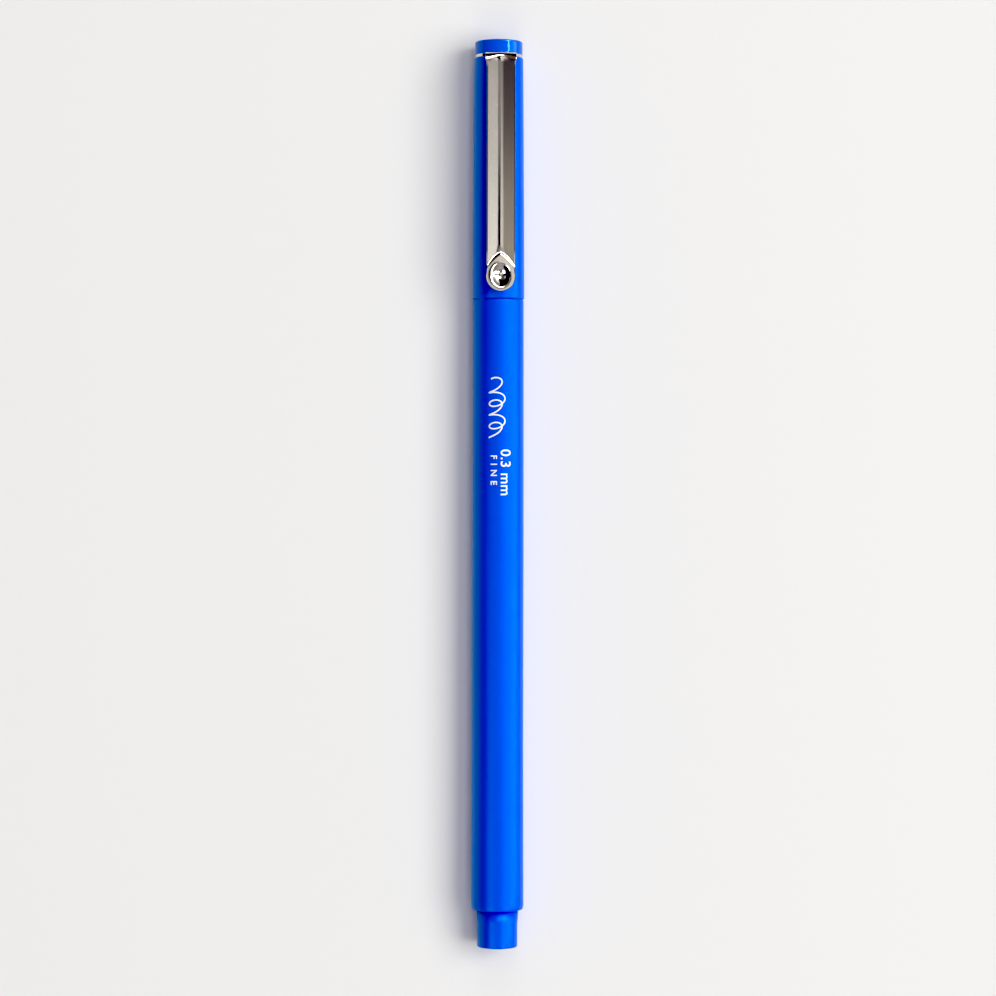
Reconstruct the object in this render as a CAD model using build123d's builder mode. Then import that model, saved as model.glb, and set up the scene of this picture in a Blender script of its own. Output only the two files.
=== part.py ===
from build123d import *

import os
from math import sqrt

# A slim capped fineliner pen, lying on its side with its pocket clip on top.
# +X runs from the tail plug to the crown of the cap, +Z is up, and the origin is
# on the table, under the middle of the pen. Every size is in millimetres.
# Places along the pen are x values. Radii and heights are taken from its axis.

# --- driving dimensions: the whole pen ---
overall_length = 141.6
cap_length = 40.35          # cap mouth to crown top
tail_length = 5.9           # what shows of the tail plug
fit_gap = 0.01              # radial gap of a pressed fit, left so that solids don't cross

# --- barrel ---
barrel_front_radius = 3.96
barrel_land_radius = 4.02   # the straight stretch that a holder grips
barrel_rear_radius = 4.10   # the widest point, which sets the height of the axis
land_length = 30.0
land_rear_offset = 26.9     # rear end of the barrel to the rear end of the land
rear_chamfer_length = 0.6
rear_chamfer_depth = 0.12
barrel_bore_radius = 2.9
seat_radius = 3.0           # bore of the seats for the front section and the tail plug
front_seat_length = 10.0
rear_seat_length = 7.0
rib_count = 6
rib_width = 0.6
rib_tip_radius = 2.5        # the ribs hold the ink reservoir clear of the wall

# --- ink reservoir and its film ---
film_radius = 2.46
film_wall = 0.08
reservoir_length = 89.0
reservoir_front_offset = 12.55  # joint to the front of the reservoir

# --- front section, which the cap covers ---
neck_radius = 3.14
snap_bead_radius = 3.2
snap_bead_offset = 1.75     # joint to the middle of the bead that the cap clicks over
snap_bead_half = 0.6
grip_length = 18.55         # joint to the step at the front of the grip
grip_front_radius = 3.0
step_length = 0.5
land_radius = 2.42          # the inner cap seals on this land
seal_land_length = 3.5
cone_length = 5.2
nose_radius = 1.15
section_room_radius = 2.5   # inside, round the reservoir
fin_room_radius = 2.2
fin_room_length = 5.5
fin_count = 4
fin_thickness = 0.6
vent_width = 0.3

# --- nib and its steel sleeve ---
sleeve_radius = 0.75
sleeve_bore = 0.52
sleeve_seat_depth = 4.6     # how far the sleeve goes into the nose
sleeve_reach = 3.0          # how far it stands out of the nose
sleeve_taper_length = 1.5
sleeve_mouth_radius = 0.42
crimp_depth = 0.07
crimp_half = 0.25
nib_radius = 0.5
nib_neck_radius = 0.34
nib_tip_radius = 0.17
nib_reach = 1.0             # how far the tip stands out of its sleeve
nib_soak_length = 9.0       # how far its back end goes into the reservoir

# --- tail plug ---
tail_base_radius = 3.3
tail_radius = 3.15
tail_base_taper = 2.4
tail_core_radius = 2.05
tail_end_wall = 1.1
tail_fin_radius = 2.3
tail_fin_thickness = 0.8

# --- cap ---
cap_mouth_radius = 4.06
cap_middle_radius = 3.965
cap_top_radius = 3.83
cap_bore_radius = 3.27
cap_liner_bore = 3.05       # upper bore, which holds the inner cap
cap_liner_step = 16.0       # mouth to the start of the upper bore
cap_step_length = 0.6
cap_web = 0.85              # thickness of the web across its top
stem_hole_radius = 1.5
click_ring_radius = 3.22    # ring inside the mouth that rides over the snap bead
click_ring_offset = 0.95
click_ring_half = 0.35

# --- inner cap ---
inner_cap_clearance = 0.4   # from the step of the section to the rim of the inner cap
seal_gap = 0.02
inner_room_radius = 2.2
inner_cap_top_wall = 2.0
socket_radius = 1.2
socket_depth = 1.4

# --- crown ---
crown_radius = 3.72
crown_height = 2.16
crown_edge_radius = 0.25
crown_pin_length = 1.3

# --- pocket clip, one piece of bent sheet ---
sheet = 0.5
collar_radius = 3.76
arm_top = 5.39              # outer face of the arm above the pen's axis
bend_outer_radius = 1.25
bend_width = 4.76
bend_gap = 0.1              # split between collar and arm, which lets the arm lift
arm_width = 4.3
groove_depth = 0.42
groove_start_length = 0.6
arm_end_offset = 1.35       # cap mouth to the end of the arm
disc_radius = 2.26
shoulder_length = 3.8       # disc centre to the point where the groove ends
dimple_half_length = 1.95
dimple_half_width = 1.48
dimple_depth = 0.79

# --- places along the pen ---
axis_height = barrel_rear_radius
tail_end_x = -overall_length / 2
crown_top_x = overall_length / 2
barrel_rear_x = tail_end_x + tail_length
joint_x = crown_top_x - cap_length
front_seat_x = joint_x - front_seat_length
rear_seat_x = barrel_rear_x + rear_seat_length
land_rear_x = barrel_rear_x + land_rear_offset
land_front_x = land_rear_x + land_length
reservoir_front_x = joint_x + reservoir_front_offset
reservoir_rear_x = reservoir_front_x - reservoir_length
step_x = joint_x + grip_length
seal_land_x = step_x + step_length
cone_x = seal_land_x + seal_land_length
nose_x = cone_x + cone_length
sleeve_rear_x = nose_x - sleeve_seat_depth
sleeve_front_x = nose_x + sleeve_reach
nib_tip_x = sleeve_front_x + nib_reach
collar_front_x = crown_top_x - crown_height
cap_top_x = collar_front_x - sheet
web_x = cap_top_x - cap_web
inner_cap_rim_x = seal_land_x + inner_cap_clearance
bend_x = collar_front_x - bend_outer_radius
bend_height = arm_top - bend_outer_radius
disc_x = joint_x + arm_end_offset + disc_radius

pen_axis = Axis((0, 0, axis_height), (1, 0, 0))
# Profiles are drawn here as (place along the pen, radius) and turned about the axis.
profile_plane = Plane(origin=(0, 0, axis_height), x_dir=(1, 0, 0), z_dir=(0, -1, 0))


def cross_plane(x):
    """A plane square to the pen at x: its own X is the pen's +Y, its own Y is up."""
    return Plane(origin=(x, 0, axis_height), x_dir=(0, 1, 0), z_dir=(1, 0, 0))


def rim(part, x, outermost=True):
    """The largest or smallest circular edge of a part in the plane at x."""
    at_x = part.edges().filter_by(GeomType.CIRCLE).filter_by_position(Axis.X, x - 0.005, x + 0.005)
    return at_x.sort_by(SortBy.RADIUS)[-1 if outermost else 0]


# The barrel: a moulded tube, a little wider at its tail, with a seat at each end and
# six ribs down the bore that hold the reservoir and let air pass.
with BuildPart() as barrel:
    with BuildSketch(profile_plane):
        with BuildLine():
            Polyline(
                (joint_x, seat_radius),
                (joint_x, barrel_front_radius),
                (land_front_x, barrel_land_radius),
                (land_rear_x, barrel_land_radius),
                (barrel_rear_x + rear_chamfer_length, barrel_rear_radius),
                (barrel_rear_x, barrel_rear_radius - rear_chamfer_depth),
                (barrel_rear_x, seat_radius),
                (rear_seat_x, seat_radius),
                (rear_seat_x, barrel_bore_radius),
                (front_seat_x, barrel_bore_radius),
                (front_seat_x, seat_radius),
                close=True,
            )
        make_face()
    revolve(axis=pen_axis)
    rib_height = barrel_bore_radius - rib_tip_radius
    wall_overlap = 0.2
    with BuildSketch(cross_plane(rear_seat_x + 1.0)):
        with PolarLocations(rib_tip_radius + (rib_height + wall_overlap) / 2, rib_count):
            Rectangle(rib_height + wall_overlap, rib_width)
    extrude(amount=front_seat_x - rear_seat_x - 2.0)
    fillet(rim(barrel, joint_x), radius=0.3)
    fillet(rim(barrel, barrel_rear_x), radius=0.12)
barrel.part.label = "barrel"

# The front section: a spigot pressed into the barrel, a neck with a snap bead, the
# grip, the land that the inner cap seals on, and a cone that ends at the nib sleeve.
with BuildPart() as front_section:
    lead_in = 0.3
    with BuildSketch(profile_plane):
        with BuildLine():
            spigot = Polyline(
                (front_seat_x + fit_gap, section_room_radius),
                (front_seat_x + fit_gap, seat_radius - fit_gap - lead_in / 2),
                (front_seat_x + fit_gap + lead_in, seat_radius - fit_gap),
                (joint_x, seat_radius - fit_gap),
                (joint_x, neck_radius),
                (joint_x + snap_bead_offset - snap_bead_half, neck_radius),
            )
            bead = ThreePointArc(
                spigot @ 1,
                (joint_x + snap_bead_offset, snap_bead_radius),
                (joint_x + snap_bead_offset + snap_bead_half, neck_radius),
            )
            Polyline(
                bead @ 1,
                (step_x, grip_front_radius),
                (seal_land_x, land_radius),
                (cone_x, land_radius),
                (nose_x, nose_radius),
                (nose_x, sleeve_radius + fit_gap),
                (sleeve_rear_x, sleeve_radius + fit_gap),
                (sleeve_rear_x, nib_radius + seal_gap),
                (reservoir_front_x + fin_room_length, nib_radius + seal_gap),
                (reservoir_front_x + fin_room_length, fin_room_radius),
                (reservoir_front_x, fin_room_radius),
                (reservoir_front_x, section_room_radius),
                spigot @ 0,
            )
        make_face()
    revolve(axis=pen_axis)
    # fins that stop the reservoir and centre the nib behind the nose
    fin_inner = nib_radius + 0.15
    with BuildSketch(cross_plane(reservoir_front_x + fit_gap)):
        with PolarLocations((fin_inner + fin_room_radius + wall_overlap) / 2, fin_count):
            Rectangle(fin_room_radius + wall_overlap - fin_inner, fin_thickness)
    extrude(amount=fin_room_length)
    # two vent slots past the nib, between the fins
    with BuildSketch(cross_plane(reservoir_front_x + fin_room_length)):
        with PolarLocations(nib_radius + vent_width / 2, 2, start_angle=45):
            Rectangle(vent_width, vent_width)
    extrude(amount=sleeve_rear_x - reservoir_front_x - fin_room_length, mode=Mode.SUBTRACT)
    fillet(rim(front_section, step_x), radius=0.25)
    fillet(rim(front_section, nose_x), radius=0.2)
front_section.part.label = "front_section"

# The steel sleeve that holds the nib, crimped in once round and turned in at its mouth.
with BuildPart() as nib_sleeve:
    crimp_x = nose_x + 0.7
    taper_x = sleeve_front_x - sleeve_taper_length
    with BuildSketch(profile_plane):
        with BuildLine():
            shank = Polyline(
                (sleeve_rear_x + fit_gap, sleeve_bore),
                (sleeve_rear_x + fit_gap, sleeve_radius),
                (crimp_x - crimp_half, sleeve_radius),
            )
            crimp = ThreePointArc(
                shank @ 1,
                (crimp_x, sleeve_radius - crimp_depth),
                (crimp_x + crimp_half, sleeve_radius),
            )
            Polyline(
                crimp @ 1,
                (taper_x, sleeve_radius),
                (sleeve_front_x, sleeve_mouth_radius + 0.1),
                (sleeve_front_x, nib_neck_radius + fit_gap),
                (taper_x, sleeve_bore),
                shank @ 0,
            )
        make_face()
    revolve(axis=pen_axis)
    fillet(rim(nib_sleeve, sleeve_front_x), radius=0.08)
nib_sleeve.part.label = "nib_sleeve"

# The nib: an extruded plastic rod, pointed at the back where it soaks up the ink, and
# drawn down at the front to a rounded writing point.
with BuildPart() as nib:
    nib_rear_x = reservoir_front_x - nib_soak_length
    point_length = 1.2
    with BuildSketch(profile_plane):
        with BuildLine():
            Polyline(
                (nib_rear_x, 0),
                (nib_rear_x + point_length, nib_radius),
                (taper_x - 0.1, nib_radius),
                (sleeve_front_x - 0.25, nib_neck_radius),
                (sleeve_front_x + 0.1, nib_neck_radius),
                (nib_tip_x - 0.3, nib_tip_radius + 0.02),
                (nib_tip_x, nib_tip_radius),
                (nib_tip_x, 0),
                close=True,
            )
        make_face()
    revolve(axis=pen_axis)
    fillet(rim(nib, nib_tip_x), radius=0.12)
nib.part.label = "nib"

# The ink reservoir: a bundle of fibres, with the hole that the back of the nib makes.
with BuildPart() as ink_reservoir:
    with BuildSketch(cross_plane(reservoir_rear_x)):
        Circle(film_radius - film_wall)
    extrude(amount=reservoir_length)
    with BuildSketch(profile_plane):
        with BuildLine():
            Polyline(
                (nib_rear_x - fit_gap, 0),
                (nib_rear_x + point_length - fit_gap, nib_radius + fit_gap),
                (reservoir_front_x, nib_radius + fit_gap),
                (reservoir_front_x, 0),
                close=True,
            )
        make_face()
    revolve(axis=pen_axis, mode=Mode.SUBTRACT)
ink_reservoir.part.label = "ink_reservoir"

# The film wrapped round the fibres.
with BuildPart() as reservoir_film:
    with BuildSketch(cross_plane(reservoir_rear_x)):
        Circle(film_radius)
        Circle(film_radius - film_wall + fit_gap / 2, mode=Mode.SUBTRACT)
    extrude(amount=reservoir_length)
reservoir_film.part.label = "reservoir_film"

# The tail plug: a hollow plug pressed into the barrel, with a cross of fins that
# reaches in to the reservoir. The cap can be pushed onto the end that shows.
with BuildPart() as tail_plug:
    core_bottom_x = tail_end_x + tail_end_wall
    with BuildSketch(profile_plane):
        with BuildLine():
            Polyline(
                (tail_end_x, 0),
                (tail_end_x, tail_radius),
                (barrel_rear_x - tail_base_taper, tail_radius),
                (barrel_rear_x, tail_base_radius),
                (barrel_rear_x, seat_radius - fit_gap),
                (rear_seat_x - 0.6, seat_radius - fit_gap),
                (rear_seat_x - 0.2, seat_radius - 0.3),
                (rear_seat_x - 0.2, tail_core_radius),
                (core_bottom_x, tail_core_radius),
                (core_bottom_x, 0),
                close=True,
            )
        make_face()
    revolve(axis=pen_axis)
    with BuildSketch(cross_plane(core_bottom_x - wall_overlap)):
        with Locations((0, 0)):
            Rectangle(2 * tail_core_radius + wall_overlap, tail_fin_thickness)
            Rectangle(tail_fin_thickness, 2 * tail_core_radius + wall_overlap)
    extrude(amount=rear_seat_x - 0.2 - core_bottom_x)
    with BuildSketch(cross_plane(rear_seat_x - 0.5)):
        Rectangle(2 * tail_fin_radius, tail_fin_thickness)
        Rectangle(tail_fin_thickness, 2 * tail_fin_radius)
    extrude(amount=reservoir_rear_x - rear_seat_x + 0.5 - fit_gap)
    fillet(rim(tail_plug, tail_end_x), radius=0.25)
tail_plug.part.label = "tail_plug"

# The cap tube: gently bowed outside, with a lead-in and a click ring in its mouth, a
# narrower bore above for the inner cap, and a web across the top.
with BuildPart() as cap_tube:
    mouth_lead = 0.35
    click_x = joint_x + click_ring_offset
    liner_step_x = joint_x + cap_liner_step
    with BuildSketch(profile_plane) as cap_profile:
        with BuildLine():
            bow = ThreePointArc(
                (joint_x, cap_mouth_radius),
                ((joint_x + cap_top_x) / 2, cap_middle_radius),
                (cap_top_x, cap_top_radius),
            )
            inside = Polyline(
                bow @ 1,
                (cap_top_x, stem_hole_radius),
                (web_x, stem_hole_radius),
                (web_x, cap_liner_bore),
                (liner_step_x + cap_step_length, cap_liner_bore),
                (liner_step_x, cap_bore_radius),
                (click_x + click_ring_half, cap_bore_radius),
            )
            click = ThreePointArc(
                inside @ 1,
                (click_x, click_ring_radius),
                (click_x - click_ring_half, cap_bore_radius),
            )
            Polyline(
                click @ 1,
                (joint_x + mouth_lead, cap_bore_radius),
                (joint_x, cap_bore_radius + mouth_lead / 2),
                bow @ 0,
            )
        make_face()
        mouth_corner = cap_profile.vertices().sort_by_distance(bow @ 0)[0]
        top_corner = cap_profile.vertices().sort_by_distance(bow @ 1)[0]
        fillet(mouth_corner, radius=0.18)
        fillet(top_corner, radius=0.12)
    revolve(axis=pen_axis)
cap_tube.part.label = "cap_tube"

# The inner cap: a soft liner whose rim seals round the land of the front section, with
# a room for the nib and a socket that grips the pin of the crown.
with BuildPart() as inner_cap:
    rim_flare = 0.2
    land_end_x = cone_x + 0.2
    inner_room_x = land_end_x + 1.5
    with BuildSketch(profile_plane):
        with BuildLine():
            Polyline(
                (inner_cap_rim_x, land_radius + seal_gap + rim_flare),
                (inner_cap_rim_x, cap_liner_bore - fit_gap - 0.1),
                (inner_cap_rim_x + 0.4, cap_liner_bore - fit_gap),
                (web_x, cap_liner_bore - fit_gap),
                (web_x, socket_radius),
                (web_x - socket_depth, socket_radius),
                (web_x - socket_depth, 0),
                (web_x - inner_cap_top_wall, 0),
                (web_x - inner_cap_top_wall, inner_room_radius),
                (inner_room_x, inner_room_radius),
                (land_end_x, land_radius + seal_gap),
                (inner_cap_rim_x + rim_flare, land_radius + seal_gap),
                close=True,
            )
        make_face()
    revolve(axis=pen_axis)
inner_cap.part.label = "inner_cap"

# The crown: a glossy disc whose stem passes through the clip's collar and the web of
# the cap tube, and whose pin is pressed into the inner cap, which holds them together.
with BuildPart() as crown:
    with BuildSketch(profile_plane):
        with BuildLine():
            Polyline(
                (collar_front_x, stem_hole_radius - fit_gap),
                (collar_front_x, crown_radius - 0.08),
                (collar_front_x + 0.1, crown_radius),
                (crown_top_x, crown_radius),
                (crown_top_x, 0),
                (web_x - crown_pin_length, 0),
                (web_x - crown_pin_length, socket_radius - 0.25),
                (web_x - crown_pin_length + 0.3, socket_radius - fit_gap),
                (web_x, socket_radius - fit_gap),
                (web_x, stem_hole_radius - fit_gap),
                close=True,
            )
        make_face()
    revolve(axis=pen_axis)
    fillet(rim(crown, crown_top_x), radius=crown_edge_radius)
crown.part.label = "crown"

# The clip's collar: a washer held between the crown and the cap tube, with a tab that
# rises to the foot of the arm. Collar and arm are one bent sheet on the real pen.
with BuildPart() as clip_collar:
    with BuildSketch(cross_plane(cap_top_x)):
        Circle(collar_radius)
        with Locations((0, bend_height / 2)):
            Rectangle(bend_width, bend_height)
        Circle(stem_hole_radius, mode=Mode.SUBTRACT)
    extrude(amount=sheet)
clip_collar.part.label = "clip_collar"

# The clip's arm: the bend over the top of the cap, a straight strip with a folded
# groove down its middle, and a round end with a dimple that presses on the cap.
dimple_centre_height = (dimple_half_width**2 - dimple_depth**2) / (2 * dimple_depth)
dimple_cross_radius = dimple_centre_height + dimple_depth
dimple_long_radius = dimple_half_length / sqrt(1 - (dimple_centre_height / dimple_cross_radius) ** 2)
spheroid_centre = (disc_x, 0, axis_height + arm_top + dimple_centre_height)
spheroid_plane = Plane(origin=spheroid_centre, x_dir=(1, 0, 0), z_dir=(0, -1, 0))
spheroid_axis = Axis(spheroid_centre, (1, 0, 0))


def strip_outline(width, depth):
    """The sheet's section at one place along the arm: flat if depth is 0, else a shallow V."""
    half = width / 2
    Polyline(
        (-half, arm_top),
        (0, arm_top - depth),
        (half, arm_top),
        (half, arm_top - sheet),
        (0, arm_top - sheet - depth),
        (-half, arm_top - sheet),
        close=True,
    )


def spheroid_profile(grow):
    """Half of an ellipse over the disc, to turn into the dimple or, grown by a sheet, its bulge."""
    with BuildSketch(spheroid_plane) as half_ellipse:
        Ellipse(dimple_long_radius + grow, dimple_cross_radius + grow)
        with Locations((0, -(dimple_cross_radius + grow))):
            Rectangle(
                2 * (dimple_long_radius + grow),
                2 * (dimple_cross_radius + grow),
                mode=Mode.INTERSECT,
            )
    return half_ellipse.sketch


with BuildPart() as clip_arm:
    # bend, a quarter of a ring seen from the side
    with BuildSketch(profile_plane):
        with Locations((bend_x, bend_height)):
            Circle(bend_outer_radius)
            Circle(bend_outer_radius - sheet, mode=Mode.SUBTRACT)
        with Locations((bend_x + bend_outer_radius / 2, bend_height + bend_gap + bend_outer_radius / 2)):
            Rectangle(bend_outer_radius, bend_outer_radius, mode=Mode.INTERSECT)
    extrude(amount=bend_width / 2, both=True)
    # flat sheet folding into the groove, then the grooved strip
    with BuildSketch(cross_plane(bend_x)):
        with BuildLine():
            strip_outline(bend_width, 0)
        make_face()
    with BuildSketch(cross_plane(bend_x - groove_start_length)):
        with BuildLine():
            strip_outline(arm_width, groove_depth)
        make_face()
    loft(ruled=True)
    with BuildSketch(cross_plane(bend_x - groove_start_length)):
        with BuildLine():
            strip_outline(arm_width, groove_depth)
        make_face()
    extrude(amount=-(bend_x - groove_start_length - disc_x - disc_radius / 2))
    # round end, with a pointed shoulder that closes off the groove
    with BuildSketch(Plane.XY.offset(axis_height + arm_top)):
        with Locations((disc_x, 0)):
            Circle(disc_radius)
        with BuildLine():
            Polyline(
                (disc_x + shoulder_length, 0),
                (disc_x + disc_radius / 2, disc_radius * 0.87),
                (disc_x + disc_radius / 2, -disc_radius * 0.87),
                close=True,
            )
        make_face()
    extrude(amount=-sheet)
    # the bulge under the disc, one sheet thick round the dimple
    revolve(spheroid_profile(sheet), axis=spheroid_axis)
    with BuildSketch(Plane.XY.offset(axis_height + arm_top)):
        with Locations((disc_x, 0)):
            Rectangle(4 * disc_radius, 4 * disc_radius)
    extrude(amount=3 * dimple_cross_radius, mode=Mode.SUBTRACT)
    revolve(spheroid_profile(0), axis=spheroid_axis, mode=Mode.SUBTRACT)
clip_arm.part.label = "clip_arm"

pieces = [
    barrel,
    front_section,
    nib_sleeve,
    nib,
    ink_reservoir,
    reservoir_film,
    tail_plug,
    cap_tube,
    inner_cap,
    crown,
    clip_collar,
    clip_arm,
]
os.makedirs("parts", exist_ok=True)
for piece in pieces:
    export_step(piece.part, f"parts/{piece.part.label}.step")
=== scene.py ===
import math

import bmesh
import bpy
from mathutils import Matrix, Vector


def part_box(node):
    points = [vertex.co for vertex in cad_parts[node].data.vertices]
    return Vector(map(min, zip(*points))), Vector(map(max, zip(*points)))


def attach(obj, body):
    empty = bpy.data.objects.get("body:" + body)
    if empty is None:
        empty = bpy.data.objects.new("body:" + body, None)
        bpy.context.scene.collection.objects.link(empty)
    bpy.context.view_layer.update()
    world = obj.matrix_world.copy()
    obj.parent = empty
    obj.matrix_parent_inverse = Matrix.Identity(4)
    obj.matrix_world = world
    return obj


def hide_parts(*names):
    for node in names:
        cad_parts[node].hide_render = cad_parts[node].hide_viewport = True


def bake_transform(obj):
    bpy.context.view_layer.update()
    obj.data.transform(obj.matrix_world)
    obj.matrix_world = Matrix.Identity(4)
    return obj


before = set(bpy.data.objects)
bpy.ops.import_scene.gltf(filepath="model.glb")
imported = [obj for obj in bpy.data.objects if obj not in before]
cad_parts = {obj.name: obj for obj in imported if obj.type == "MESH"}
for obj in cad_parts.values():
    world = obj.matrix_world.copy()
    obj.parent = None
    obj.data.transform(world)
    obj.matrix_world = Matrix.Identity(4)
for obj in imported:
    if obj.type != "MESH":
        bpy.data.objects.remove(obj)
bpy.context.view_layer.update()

# Capped fineliner pen, lying on a pale table with its clip on top.
# +X runs to the crown of the cap, +Z is up. The numbers in the dictionaries are millimetres.
mm = 0.001
scene = bpy.context.scene


def middle(node):
    low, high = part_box(node)
    return (low + high) / 2


def ends(node):
    low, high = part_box(node)
    return low.x / mm, high.x / mm


axisZ = middle("barrel").z / mm
tailX = ends("tail_plug")[0]
barrelRearX, jointX = ends("barrel")
capTopX = ends("cap_tube")[1]
collarFrontX = ends("clip_collar")[1]
crownTopX = ends("crown")[1]
armEndX = ends("clip_arm")[0]
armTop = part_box("clip_arm")[1].z / mm - axisZ       # above the pen's axis
sleeveFrontX = ends("nib_sleeve")[1]
nibTipX = ends("nib")[1]


# ------ camera ------
cameraSet = {
    "height": 480.0,        # above the pen's axis
    "along": -0.6,
    "roll": 4.0,            # degrees round the pen, so the clip sits a little to the right
    "turn": 0.107,          # degrees in the picture
    "lens": 110.85,
    "film": 36.0,
    "black": (0.036, 0.042, 0.02),          # crisp blacks
}


def placeCamera(c):
    data = bpy.data.cameras.new("overhead")
    data.lens = c["lens"]
    data.sensor_width = c["film"]
    data.clip_start = 0.01
    data.clip_end = 20.0
    camera = bpy.data.objects.new("overhead", data)
    scene.collection.objects.link(camera)
    roll = math.radians(c["roll"])
    aim = Vector((c["along"] * mm, 0, axisZ * mm))
    away = Vector((0, math.sin(roll), math.cos(roll)))
    across = Vector((0, -math.cos(roll), math.sin(roll)))
    place = Matrix((across, Vector((1, 0, 0)), away)).transposed().to_4x4()
    place = place @ Matrix.Rotation(math.radians(c["turn"]), 4, "Z")
    place.translation = aim + away * c["height"] * mm
    camera.matrix_world = place
    scene.camera = camera
    scene.view_settings.view_transform = "Standard"
    scene.view_settings.look = "None"
    scene.view_settings.use_curve_mapping = True
    scene.view_settings.curve_mapping.black_level = c["black"]


placeCamera(cameraSet)
print("camera placed")


# ------ lights ------
lightSet = {
    # name, where it comes from, distance, size along and across the pen, power
    "lamps": (("window", (0.04, -0.60, 0.80), 1900.0, (1500.0, 1150.0), 30.4),),
    "room": (0.175, 0.17, 0.165),
    "backdrop": (0.76, 0.755, 0.745),       # what the camera sees beyond the table
    "overhead": (1.6, 1.59, 1.57),          # soft strip straight above
    "overheadHalf": (9.0, 15.0),            # half its width, in degrees
    "unlit": (0.0, 0.0, 0.0),
    # What shines back from the pen. Places are degrees from straight above, and minus is to
    # the clip's right and towards the tail. Patches have their four places across first.
    "shine": (
        (-100, 6.5),
        (-84, 11.0),
        (-64, 10.0),
        (-45, 12.5),
        (-20, 14.0),
        (22, 14.0),
        (38, 8.0),
        (50, 0.6),
        (60, 0.0),
        (100, 0.0),
    ),
    "shineAlong": ((-100, 0.02), (-42, 0.04), (-32, 1.0), (32, 1.0), (42, 0.08), (100, 0.0)),
    "corner": (-70.0, -62.0, -36.0, -28.0, 38.0, 46.0, 64.0, 72.0),
    "cornerLevel": (1.3, 1.28, 1.24),
    "behind": (-60.0, -52.0, 22.0, 30.0, -46.0, -42.0, -13.0, -9.0),
    "behindLevel": (0.3, 0.28, 0.24),
    "panelAhead": (-50.0, -44.0, -2.0, 4.0, 14.0, 17.0, 28.0, 31.0),
    "panelBehind": (-50.0, -44.0, -26.0, -20.0, -31.0, -28.0, -17.0, -14.0),
    "panelLevel": (11.0, 11.0, 11.0),
    # low and straight ahead, past the crown
    "ahead": (
        (10, (0.5, 0.47, 0.4)),
        (16, (0.2, 0.16, 0.1)),
        (44, (0.13, 0.1, 0.05)),
        (52, 0.0),
        (100, 0.0),
    ),
    "aheadFrom": (8.0, 11.0),
    "aheadSides": (-38.0, -29.0, 42.0, 52.0),
    "aheadUp": 0.2,
    # the ceiling over the clip, across the pen
    "ceiling": (
        (-100, 5.0),
        (-78, 8.0),
        (-73, 0.01),
        (-58, 0.01),
        (-54, (0.75, 0.74, 0.72)),
        (-36, (0.75, 0.74, 0.72)),
        (-32, (1.02, 1.0, 0.97)),           # broad white panel
        (-21, (1.02, 1.0, 0.97)),
        (-19.5, 0.01),                      # unlit gap
        (-7.5, 0.01),
        (-5, (0.88, 0.86, 0.81)),           # narrow lit slot
        (9, (0.88, 0.86, 0.81)),
        (12.5, (0.42, 0.395, 0.33)),        # brown wall
        (25, (0.48, 0.45, 0.38)),
        (31, 0.05),
    ),
    # how far along the pen, as a slope from straight above
    "ceilingEnds": (-0.24, -0.16, 0.22, 0.32),
    "lowestUp": 0.05,
    "gap": (-20.0, -19.0, -7.5, -6.0),
    "gapEnds": (0.10, 0.125),               # where the gap closes, towards the crown
    "gapGrey": (0.52, 0.5, 0.46),
    "fades": (0.085, 0.138),                # where the ceiling dims, towards the crown
    "fadeBy": ((-100, 0.37), (-10, 0.37), (0, 0.55), (12, 0.75), (100, 0.75)),
    # what the crown shows: a soft glow and the corner of a small bright window
    "glow": (
        (-100, 5.0),
        (-60, 1.8),
        (-40, 1.3),
        (-33, (0.3, 0.28, 0.25)),
        (-5, (0.25, 0.23, 0.2)),
        (5, (0.06, 0.055, 0.05)),
        (60, 0.05),
    ),
    "glowEnds": (0.1425, 0.144, 0.17, 0.2),
    "sideGlow": (-110.0, -100.0, -56.0, -50.0, 0.09, 0.11, 0.17, 0.2),
    "pane": (-48.5, -47.5, -42.0, -41.0),
    "paneBar": (-0.68, -0.64, -0.44, -0.4, 0.3, 0.34, 0.54, 0.58),
    "paneLevel": (24.0, 24.0, 24.0),
}


def placeLights(l):
    for name, source, distance, size, power in l["lamps"]:
        data = bpy.data.lights.new(name, "AREA")
        data.shape = "RECTANGLE"
        data.size, data.size_y = (v * mm for v in size)
        data.energy = power
        lamp = bpy.data.objects.new(name, data)
        scene.collection.objects.link(lamp)
        lamp.visible_glossy = False
        away = Vector(source).normalized()
        lie = Vector((1, 0, 0))
        lie = (lie - away * lie.dot(away)).normalized()
        place = Matrix((lie, away.cross(lie), away)).transposed().to_4x4()
        place.translation = away * distance * mm
        lamp.matrix_world = place


placeLights(lightSet)


# ------ shader maths ------
class Wire:     # an output socket; sums on it become Math nodes
    def __init__(self, sheet, socket):
        self.sheet = sheet
        self.socket = socket

    def __add__(self, other):
        return self.sheet.calc("ADD", self, other)

    def __radd__(self, other):
        return self.sheet.calc("ADD", other, self)

    def __sub__(self, other):
        return self.sheet.calc("SUBTRACT", self, other)

    def __rsub__(self, other):
        return self.sheet.calc("SUBTRACT", other, self)

    def __mul__(self, other):
        return self.sheet.calc("MULTIPLY", self, other)

    def __rmul__(self, other):
        return self.sheet.calc("MULTIPLY", other, self)

    def __truediv__(self, other):
        return self.sheet.calc("DIVIDE", self, other)

    def __rtruediv__(self, other):
        return self.sheet.calc("DIVIDE", other, self)


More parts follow.
